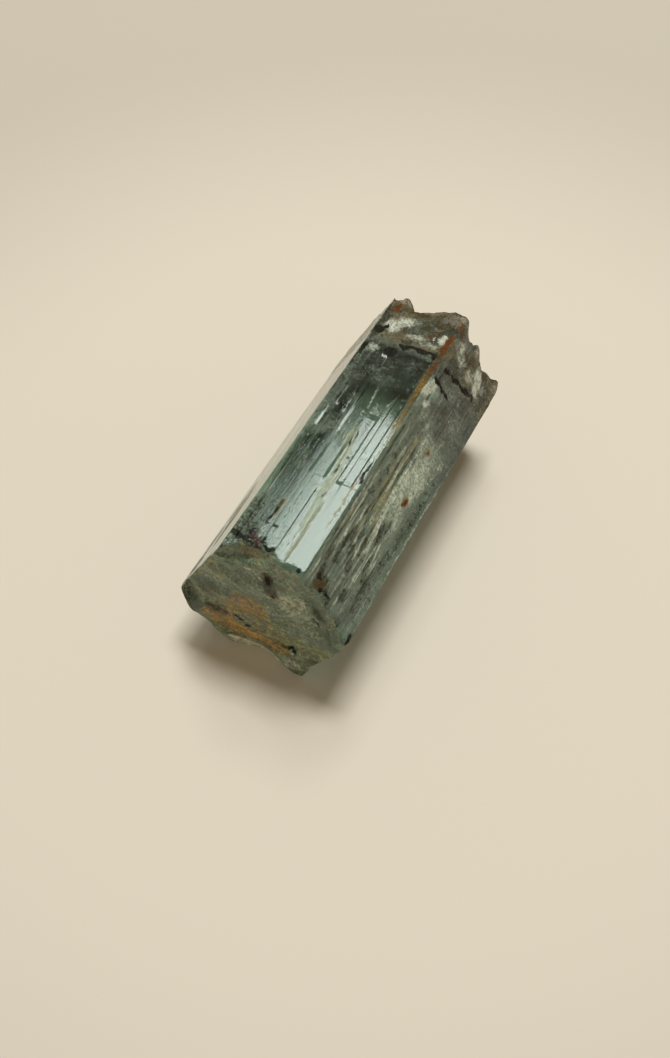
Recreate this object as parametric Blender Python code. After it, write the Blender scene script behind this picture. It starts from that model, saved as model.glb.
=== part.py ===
"""An aquamarine crystal: a clear six-sided beryl prism that lies on one of its long faces.

Metres, +Z up. +Y runs along the growth axis, from the broken end at -Y to the ragged,
etched end at +Y. The origin is at the bottom centre of the crystal's bounding box, in the
flat face that it rests on. The crystal is one closed mesh: a sheet of rows and columns for
the six long faces, shared with a net of triangles over each end.
"""

import math
import random

import bmesh
import bpy
from mathutils import Vector, noise
from mathutils.geometry import delaunay_2d_cdt

MM = 0.001

# The section across the growth axis. Neighbouring faces of beryl meet at 120 degrees, so
# four widths fix the section and the two left-hand widths close it. The edges are a little
# worn, and SECTION_MIDDLE is the height of the growth axis.
BASE_WIDTH = 5.6 * MM
LOWER_RIGHT_WIDTH = 6.8 * MM
UPPER_RIGHT_WIDTH = 5.9 * MM
TOP_WIDTH = 5.4 * MM
EDGE_WEAR = 0.06 * MM
SECTION_MIDDLE = 5.5 * MM

# The ends, as places along the growth axis.
BROKEN_END = -11.75 * MM
RAGGED_END = 11.75 * MM
END_ZONE = 1.9 * MM

# Growth ledges: long, low steps that run along the faces and stop at a few common places.
LEDGE_RUN = 0.07 * MM
LEDGE_HEIGHT = 0.07 * MM
LEDGE_STOPS = (-4.4 * MM, 1.3 * MM, 2.1 * MM, 6.6 * MM)
LEDGES_PER_FACE = 7
COLUMN_STEP = 0.5 * MM
ROW_STEP = 1.3 * MM

# The rounded shoulder that the etched end wears into the long faces, and the bruised rim
# of the broken end.
SHOULDER_REACH = 1.3 * MM
SHOULDER_DEPTH = 0.28 * MM
BRUISE_REACH = 0.35 * MM
BRUISE_DEPTH = 0.10 * MM

# The net over each end.
NET_STEP = 0.48 * MM
NET_MARGIN = 0.28 * MM
NET_JITTER = 0.1 * MM

# The pit in the broken end.
PIT_PLACE = Vector((1.85, 2.35)) * MM
PIT_RADIUS = 0.3 * MM
PIT_DEPTH = 0.55 * MM

FACES = ("base", "lower_right", "upper_right", "top", "upper_left", "lower_left")

# The top face's ledges, as (start across the face, end, height near the broken end,
# height past the stop, number of the stop). Heights are in ledge heights.
TOP_LEDGES = (
    (0.00, 0.09, -0.9, -0.4, 3),
    (0.09, 0.20, 0.9, 0.0, 2),
    (0.20, 0.27, -0.3, -0.3, 3),
    (0.27, 0.43, 0.6, -0.2, 1),
    (0.43, 0.62, 0.2, -0.5, 0),
    (0.62, 0.82, -0.5, -0.1, 3),
    (0.82, 1.00, 0.0, 0.4, 1),
)

# Swellings and hollows of the ends, as (x, z, height, reach) in millimetres. A positive
# height stands out of the end.
BROKEN_LOBES = (
    (-5.4, 3.2, 0.75, 2.2),
    (2.2, 0.0, 0.40, 1.5),
    (5.2, 4.4, 0.40, 1.7),
    (-2.6, 11.0, 0.55, 0.8),
    (0.0, 11.4, -0.55, 2.6),
    (4.3, 8.7, -0.45, 2.0),
    (-0.7, 0.2, -0.40, 1.2),
    (0.8, 6.0, 0.20, 2.4),
)
RAGGED_LOBES = (
    (-2.0, 11.0, 0.75, 1.0),
    (-4.3, 8.4, 0.80, 1.7),
    (-0.1, 11.0, -0.30, 0.7),
    (1.6, 11.0, 0.75, 1.1),
    (3.1, 10.6, 0.40, 0.8),
    (4.2, 9.0, 0.60, 0.7),
    (4.8, 7.8, -0.35, 0.6),
    (5.6, 6.0, 0.50, 1.0),
    (-1.0, 5.0, -0.70, 2.2),
    (1.5, 1.5, 0.30, 1.6),
)

# The shell-like ripples of the break spread from a point just above its top left corner.
RIPPLE_CENTRE = Vector((-1.6, 13.2)) * MM
RIPPLE_SPACING = 1.25 * MM
RIPPLE_CROWDING = 0.8
RIPPLE_HEIGHT = 0.09 * MM
SHELL_RADIUS = 3.3 * MM
SHELL_DROP = 0.30 * MM
SHELL_STEEPNESS = 0.08 * MM

# The hillocks of the ragged end, and the fine grain of both ends.
HILLOCK_SIZE = 1.5 * MM
HILLOCK_HEIGHT = 0.75 * MM
HILLOCK_LEVEL = 0.45
GRAIN_SIZE = 0.9 * MM
GRAIN_HEIGHT = 0.06 * MM


def section_corners():
    """The section's six corners as (x, z), from the rest face's left one, with x centred."""
    slant = LOWER_RIGHT_WIDTH + UPPER_RIGHT_WIDTH
    skew = BASE_WIDTH + (LOWER_RIGHT_WIDTH - UPPER_RIGHT_WIDTH) / 2 - TOP_WIDTH
    upper_left_width = slant / 2 + skew
    widths = (BASE_WIDTH, LOWER_RIGHT_WIDTH, UPPER_RIGHT_WIDTH, TOP_WIDTH, upper_left_width)
    corners = [Vector((0.0, 0.0))]
    for side, width in enumerate(widths):
        turn = math.radians(60 * side)
        corners.append(corners[-1] + width * Vector((math.cos(turn), math.sin(turn))))
    left = min(corner.x for corner in corners)
    right = max(corner.x for corner in corners)
    return [corner - Vector(((left + right) / 2, 0.0)) for corner in corners]


def face_ledges(face):
    """A face's ledges, as TOP_LEDGES gives them. The rest face has none."""
    if face == "top":
        return TOP_LEDGES
    if face == "base":
        return tuple((i / 4, (i + 1) / 4, 0.0, 0.0, 0) for i in range(4))
    rng = random.Random(f"ledges of {face}")
    widths = [rng.uniform(0.5, 1.5) for _ in range(LEDGES_PER_FACE)]
    ledges = []
    start = 0.0
    for width in widths:
        end = start + width / sum(widths)
        near, far = rng.uniform(-0.7, 0.7), rng.uniform(-0.7, 0.7)
        ledges.append((start, end, near, far, rng.randrange(len(LEDGE_STOPS))))
        start = end
    return tuple(ledges)


def section_columns():
    """The columns of the sheet, each as (point, outward direction, ledge)."""
    corners = section_corners()
    columns = []
    for index, face in enumerate(FACES):
        start = corners[index]
        run = corners[(index + 1) % 6] - start
        width = run.length
        along = run / width
        outward = Vector((along.y, -along.x))
        for ledge in face_ledges(face):
            first = ledge[0] * width + (LEDGE_RUN / 2 if ledge[0] > 0 else EDGE_WEAR)
            last = ledge[1] * width - (LEDGE_RUN / 2 if ledge[1] < 0.999 else EDGE_WEAR)
            count = max(1, round((last - first) / COLUMN_STEP))
            for step in range(count + 1):
                across = first + (last - first) * step / count
                columns.append((start + across * along, outward, ledge))
    return columns


def lobes_at(x, z, lobes):
    """How far a set of lobes stands out at a point of an end."""
    total = 0.0
    for lobe_x, lobe_z, height, reach in lobes:
        distance = math.hypot(x / MM - lobe_x, z / MM - lobe_z) / reach
        total += height * MM * math.exp(-distance * distance)
    return total


def grain_at(x, z, layer):
    """A fine unevenness of a broken surface."""
    return GRAIN_HEIGHT * noise.noise(Vector((x / GRAIN_SIZE, layer, z / GRAIN_SIZE)))


def broken_end(x, z):
    """Where the broken end lies along the growth axis, over a point of the section."""
    out = lobes_at(x, z, BROKEN_LOBES) + grain_at(x, z, 3.1)
    from_centre = (Vector((x, z)) - RIPPLE_CENTRE).length
    ripples = (from_centre / RIPPLE_SPACING) ** RIPPLE_CROWDING
    out += RIPPLE_HEIGHT * math.sin(2 * math.pi * ripples)
    out -= SHELL_DROP / (1 + math.exp((from_centre - SHELL_RADIUS) / SHELL_STEEPNESS))
    from_pit = (Vector((x, z)) - PIT_PLACE).length / PIT_RADIUS
    out -= PIT_DEPTH * max(0.0, 1 - from_pit ** 2)
    return BROKEN_END - out


def ragged_end(x, z):
    """Where the ragged end lies along the growth axis, over a point of the section."""
    place = Vector((x / HILLOCK_SIZE, 7.7, z / HILLOCK_SIZE))
    nearest, second = noise.voronoi(place)[0][:2]
    hillock = min(1.0, second - nearest) - HILLOCK_LEVEL
    return RAGGED_END + lobes_at(x, z, RAGGED_LOBES) + HILLOCK_HEIGHT * hillock


def sheet_rows():
    """The rows of the long faces between the two end zones, as places along the axis."""
    start = BROKEN_END + END_ZONE
    end = RAGGED_END - END_ZONE
    stops = [stop + side * LEDGE_RUN / 2 for stop in LEDGE_STOPS for side in (-1, 1)]
    count = round((end - start) / ROW_STEP)
    evenly = [start + (end - start) * i / count for i in range(count + 1)]
    clear = [y for y in evenly if min(abs(y - stop) for stop in stops) > 0.3 * ROW_STEP]
    return sorted(clear + stops)


def ledge_height(ledge, y):
    """How far a ledge stands out of its face at a place along the axis."""
    near, far, stop = ledge[2:]
    return LEDGE_HEIGHT * (near if y < LEDGE_STOPS[stop] else far)


def wear_at(point, y, near_rim, far_rim):
    """How the rims of both ends are worn in towards the axis. The rest face stays flat."""
    to_far = max(0.0, 1 - (far_rim - y) / SHOULDER_REACH)
    to_near = max(0.0, 1 - (y - near_rim) / BRUISE_REACH)
    patchy = 1 + 0.8 * noise.noise(Vector((point.x, y, point.y)) / GRAIN_SIZE)
    depth = patchy * (SHOULDER_DEPTH * to_far ** 2 + BRUISE_DEPTH * to_near ** 2)
    above_rest_face = min(1.0, point.y / SHOULDER_REACH)
    inward = Vector((0.0, SECTION_MIDDLE)) - point
    return above_rest_face * depth * inward.normalized()


def column_points(column):
    """One column of the sheet, from the broken end's rim to the ragged end's rim."""
    point, outward, ledge = column
    rows = sheet_rows()
    near_rim = broken_end(*point)
    far_rim = ragged_end(*point)
    near_zone = [near_rim + (rows[0] - near_rim) * part for part in (0.0, 0.15, 0.55)]
    far_zone = [rows[-1] + (far_rim - rows[-1]) * part for part in (0.3, 0.55, 0.8, 0.92, 1.0)]
    points = []
    for y in near_zone + rows + far_zone:
        at = point + ledge_height(ledge, y) * outward + wear_at(point, y, near_rim, far_rim)
        points.append(Vector((at.x, y, at.y)))
    return points


def inside_section(place, corners, margin):
    """Whether a point of the section is further than a margin inside all six sides."""
    for index, start in enumerate(corners):
        along = (corners[(index + 1) % 6] - start).normalized()
        if along.cross(place - start) < margin:
            return False
    return True


def net_places(seed):
    """The inner points of an end's net: a jittered triangular grid, and a ring for the pit."""
    rng = random.Random(seed)
    corners = section_corners()
    reach = max(corner.length for corner in corners)
    count = math.ceil(reach / NET_STEP)
    places = []
    for row in range(-count, 2 * count):
        for column in range(-count, count + 1):
            place = Vector((column + 0.5 * (row % 2), row * math.sqrt(3) / 2)) * NET_STEP
            place += Vector((rng.uniform(-1, 1), rng.uniform(-1, 1))) * NET_JITTER
            clear_of_pit = (place - PIT_PLACE).length > 1.6 * PIT_RADIUS
            if clear_of_pit and inside_section(place, corners, NET_MARGIN):
                places.append(place)
    places.append(PIT_PLACE.copy())
    for ring in (0.6, 1.05):
        for step in range(8):
            turn = math.radians(45 * step)
            offset = Vector((math.cos(turn), math.sin(turn))) * PIT_RADIUS * ring
            places.append(PIT_PLACE + offset)
    return places


def add_end_net(mesh, rim, end, seed):
    """Close one end with a net of triangles that shares the rim's vertices."""
    rim_places = [Vector((vert.co.x, vert.co.z)) / MM for vert in rim]
    inner_places = [place / MM for place in net_places(seed)]
    border = [(i, (i + 1) % len(rim)) for i in range(len(rim))]
    places, _, triangles, sources, _, _ = delaunay_2d_cdt(
        rim_places + inner_places, border, [], 1, 1e-6
    )
    verts = []
    for place, source in zip(places, sources):
        if source and min(source) < len(rim):
            verts.append(rim[min(source)])
        else:
            x, z = place * MM
            verts.append(mesh.verts.new((x, end(x, z), z)))
    for triangle in triangles:
        mesh.faces.new([verts[i] for i in triangle])


def build_crystal():
    """The whole crystal as one mesh object, centred over the origin."""
    mesh = bmesh.new()
    sheet = [[mesh.verts.new(point) for point in column_points(column)]
             for column in section_columns()]
    for index, column in enumerate(sheet):
        following = sheet[(index + 1) % len(sheet)]
        for row in range(len(column) - 1):
            corner_verts = (column[row], following[row], following[row + 1], column[row + 1])
            mesh.faces.new(corner_verts)
    add_end_net(mesh, [column[0] for column in sheet], broken_end, "broken end")
    add_end_net(mesh, [column[-1] for column in sheet], ragged_end, "ragged end")
    bmesh.ops.recalc_face_normals(mesh, faces=mesh.faces)

    lows = [min(vert.co[axis] for vert in mesh.verts) for axis in range(3)]
    highs = [max(vert.co[axis] for vert in mesh.verts) for axis in range(3)]
    middle = Vector(((lows[0] + highs[0]) / 2, (lows[1] + highs[1]) / 2, lows[2]))
    bmesh.ops.translate(mesh, verts=mesh.verts, vec=-middle)

    data = bpy.data.meshes.new("aquamarine_crystal")
    mesh.to_mesh(data)
    mesh.free()
    crystal = bpy.data.objects.new("aquamarine_crystal", data)
    bpy.context.collection.objects.link(crystal)
    data.shade_smooth()
    data.set_sharp_from_angle(angle=math.radians(12))
    return crystal


def aquamarine_material():
    """Clear blue-green beryl."""
    material = bpy.data.materials.new("aquamarine")
    material.use_nodes = True
    principled = material.node_tree.nodes["Principled BSDF"]
    principled.inputs["Base Color"].default_value = (0.30, 0.43, 0.36, 1.0)
    principled.inputs["Roughness"].default_value = 0.12
    principled.inputs["Metallic"].default_value = 0.0
    principled.inputs["IOR"].default_value = 1.575
    principled.inputs["Transmission Weight"].default_value = 0.6
    return material


def main():
    for obj in list(bpy.data.objects):
        bpy.data.objects.remove(obj)
    crystal = build_crystal()
    crystal.data.materials.append(aquamarine_material())


if __name__ == "__main__":
    main()
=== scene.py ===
"""The finish of an aquamarine crystal: a clear blue-green beryl prism on a plain pale floor.

Laid out as a Blender add-on. Each operator makes one piece of the crystal's look or the
stage, and main() runs them in order. Metres, +Z up, +Y along the growth axis from the
broken end to the ragged, etched end.
"""

import math
import random

import bmesh
import bpy
from bpy.props import FloatProperty, FloatVectorProperty, IntProperty, PointerProperty
from mathutils import Matrix, Vector, noise
from mathutils.geometry import delaunay_2d_cdt
from mathutils.kdtree import KDTree


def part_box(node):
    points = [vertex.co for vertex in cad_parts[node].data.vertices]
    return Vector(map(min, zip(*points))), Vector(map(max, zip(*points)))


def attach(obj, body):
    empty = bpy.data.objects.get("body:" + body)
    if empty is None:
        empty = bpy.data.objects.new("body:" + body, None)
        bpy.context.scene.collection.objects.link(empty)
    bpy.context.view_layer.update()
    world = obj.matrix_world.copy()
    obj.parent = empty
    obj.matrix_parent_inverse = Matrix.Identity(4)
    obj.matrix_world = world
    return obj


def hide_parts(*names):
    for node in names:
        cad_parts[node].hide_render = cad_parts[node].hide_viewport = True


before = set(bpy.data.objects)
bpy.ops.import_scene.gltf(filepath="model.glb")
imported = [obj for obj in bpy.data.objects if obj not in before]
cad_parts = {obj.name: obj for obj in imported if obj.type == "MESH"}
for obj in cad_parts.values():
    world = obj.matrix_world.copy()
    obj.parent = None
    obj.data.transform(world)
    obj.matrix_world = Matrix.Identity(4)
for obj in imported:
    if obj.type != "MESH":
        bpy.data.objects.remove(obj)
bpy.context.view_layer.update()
NODE = "aquamarine_crystal"
NODE_LOW, NODE_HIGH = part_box(NODE)

bl_info = {
    "name": "Aquamarine crystal",
    "version": (1, 0, 0),
    "blender": (4, 5, 0),
    "location": "3D View > Sidebar > Crystal",
    "description": "Builds a clear aquamarine crystal with its flaws, stains and stage",
    "category": "Object",
}

MM = 0.001

# ---------------------------------------------------------------------------------------
# The crystal's form, as the solid has it, with a finer sheet and finer nets.

BASE_WIDTH = 5.6 * MM
LOWER_RIGHT_WIDTH = 6.8 * MM
UPPER_RIGHT_WIDTH = 5.9 * MM
TOP_WIDTH = 5.4 * MM
EDGE_WEAR = 0.06 * MM
SECTION_MIDDLE = 5.5 * MM
FACES = ("base", "lower_right", "upper_right", "top", "upper_left", "lower_left")

BROKEN_END = -11.75 * MM
RAGGED_END = 11.75 * MM
END_ZONE = 1.9 * MM

LEDGE_RUN = 0.07 * MM
LEDGE_HEIGHT = 0.07 * MM
LEDGE_STOPS = (-4.4 * MM, 1.3 * MM, 2.1 * MM, 6.6 * MM)
LEDGES_PER_FACE = 7
COLUMN_STEP = 0.085 * MM
ROW_STEP = 0.22 * MM
ZONE_ROWS = 13
ZONE_CROWDING = 1.4

SHOULDER_REACH = 1.3 * MM
SHOULDER_DEPTH = 0.20 * MM
BRUISE_REACH = 0.35 * MM
BRUISE_DEPTH = 0.10 * MM
WEAR_PATCHINESS = 0.8
SHELTERED_FROM = 1.4
SHELTER = 0.75

RIM_REACH = 0.30 * MM

NET_STEP = 0.17 * MM
NET_MARGIN = 0.12 * MM
NET_JITTER = 0.03 * MM

PIT_PLACE = Vector((1.85, 2.35)) * MM
PIT_RADIUS = 0.3 * MM
PIT_DEPTH = 0.55 * MM

# The top face's plates as (start, end, height nearer the broken end, height farther from it,
# which stop parts the two, degrees that the plate leans down towards the ragged end). Starts
# and ends are shares of the face's width, and heights are shares of LEDGE_HEIGHT.
TOP_LEDGES = (
    (0.00, 0.09, -0.2, -0.9, 0, 0.0),
    (0.09, 0.20, 0.0, 0.6, 0, -0.04),
    (0.20, 0.27, -0.1, -0.5, 0, -0.02),
    (0.27, 0.43, 0.1, -0.2, 1, 0.07),
    (0.43, 0.62, 0.0, -0.5, 0, 0.30),
    (0.62, 0.71, -0.4, -0.1, 3, 0.16),
    (0.71, 0.82, 0.2, -0.3, 3, 0.48),
    (0.82, 0.90, -0.3, 0.4, 1, 0.30),
    (0.90, 1.00, 0.0, 0.2, 1, 0.75),
)
TOP_LEDGE_SHARE = 0.55
LEDGE_SHARE = 0.7
LEFT_LEDGE_SHARE = 0.2
REST_FACE_STRIPS = 4
ALL_BUT_ONE = 0.999

# Lobes of the two ends, each as (x, z, how far it stands out, reach), in mm.
BROKEN_LOBES = (
    (-5.4, 3.2, 0.75, 2.2), (2.2, 0.0, 0.40, 1.5), (5.2, 4.4, 0.40, 1.7), (-2.6, 11.0, 0.55, 0.8),
    (0.0, 11.4, -0.55, 2.6), (4.3, 8.7, -0.45, 2.0), (-0.7, 0.2, -0.40, 1.2), (0.8, 6.0, 0.20, 2.4),
)
RAGGED_LOBES = (
    (-1.7, 11.0, 0.72, 0.9), (-2.9, 10.4, 0.25, 0.7), (-4.3, 8.4, 0.80, 1.7), (-0.1, 11.0, -0.30, 0.7),
    (1.7, 11.0, 1.00, 1.0), (3.0, 10.8, 0.30, 0.7), (4.2, 9.0, 0.60, 0.7), (4.8, 7.8, -0.35, 0.6),
    (5.6, 6.0, 0.50, 1.0), (-1.0, 5.0, -0.70, 2.2), (1.5, 1.5, 0.30, 1.6),
)

RIPPLE_CENTRE = Vector((-1.6, 13.2)) * MM
RIPPLE_SPACING = 1.25 * MM
RIPPLE_CROWDING = 0.8
RIPPLE_HEIGHT = 0.09 * MM
SHELL_RADIUS = 3.3 * MM
SHELL_DROP = 0.30 * MM
SHELL_STEEPNESS = 0.08 * MM

# The corners of the space that the growth tubes start in, in mm.
TUBE_LOW = (-2.2, -8.5, 3.0)
TUBE_HIGH = (2.4, 7.0, 10.75)

# Each veil inside as (name, middle in mm, turn in degrees, sides in mm, flakes per mm2).
VEILS = (
    ("top", (-0.9, -0.2, 9.7), (12.0, -14.0, 30.0), (2.0, 4.8), 34.0),
    ("far", (-1.4, 6.0, 9.7), (-16.0, 6.0, 0.0), (2.6, 3.0), 20.0),
    ("right", (4.1, 0.6, 7.2), (0.0, 60.0, 8.0), (2.4, 7.0), 34.0),
    ("near", (0.6, -9.4, 6.0), (68.0, 8.0, 0.0), (5.0, 4.5), 26.0),
)

VEIL_ROWS = 16
FLAKE_THINNESS = 0.12

# The skin map is in mm. A long face's places are the girth, from the rest face's left corner,
# and the way along the axis. An end's places are across and up, moved by one of these.
BROKEN_SKIN = 100.0
RAGGED_SKIN = 200.0
ON_AN_END = BROKEN_SKIN / 2
ON_RAGGED_END = (BROKEN_SKIN + RAGGED_SKIN) / 2

# Stretches of the girth: the upper right face, the left faces, and the smoothest faces.
RIGHT_GIRTHS = (12.4, 18.3)
LEFT_GIRTHS = (23.7, 30.7)
SMOOTH_GIRTHS = (18.3, 27.0)
SMOOTHNESS = 0.92

HILLOCK_SIZE = 1.5 * MM
HILLOCK_HEIGHT = 0.75 * MM
HILLOCK_LEVEL = 0.45
GRAIN_SIZE = 0.9 * MM
GRAIN_HEIGHT = 0.06 * MM

# Faces that meet at more than this many degrees look sharp.
SHARP_ANGLE = 14
DULL_SHINE = 0.1
INCLUSION_IOR = 1.33

# The stage.

FLOOR_SIZE = 1.2
ROOM_COLOUR = (1.0, 0.84, 0.62, 1.0)
FLOOR_GAP = 0.02 * MM
CAMERA_PLACE = Vector((23.26, -43.11, 65.79)) * MM
CAMERA_AZIMUTH = 29.64
CAMERA_ELEVATION = 53.33
CAMERA_ROLL = -2.77
CAMERA_LENS = 39.29
# The floor's painted shade for light falling off away from the crystal: from the start to the end
# distance, in mm, it darkens by up to this share.
FLOOR_FADE_START = 26.0
FLOOR_FADE_END = 64.0
FLOOR_FADE = 0.20
# The window and the two dimmer strips beside it share one plane. Each light panel is (name,
# azimuth, elevation, roll, distance, place in its plane, sides, colour, share of the power).
PANELS = (
    ("overhead_panel", 6.0, 74.0, 0.0, 0.9, (0.0, 0.0), (0.32, 0.22), (0.97, 1.0, 1.0), 3.05),
    ("window_panel", -21.8, 58.2, -32.6, 0.5, (0.0125, -0.001), (0.115, 0.117),
     (0.93, 1.0, 0.95), 0.198),
    ("window_edge", -21.8, 58.2, -32.6, 0.5, (0.0742, 0.0087), (0.0085, 0.0975),
     (0.84, 1.0, 0.92), 0.0072),
    ("window_frame", -21.8, 58.2, -32.6, 0.5, (0.0822, 0.0197), (0.0075, 0.0755),
     (0.80, 1.0, 0.90), 0.0020),
)

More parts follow.
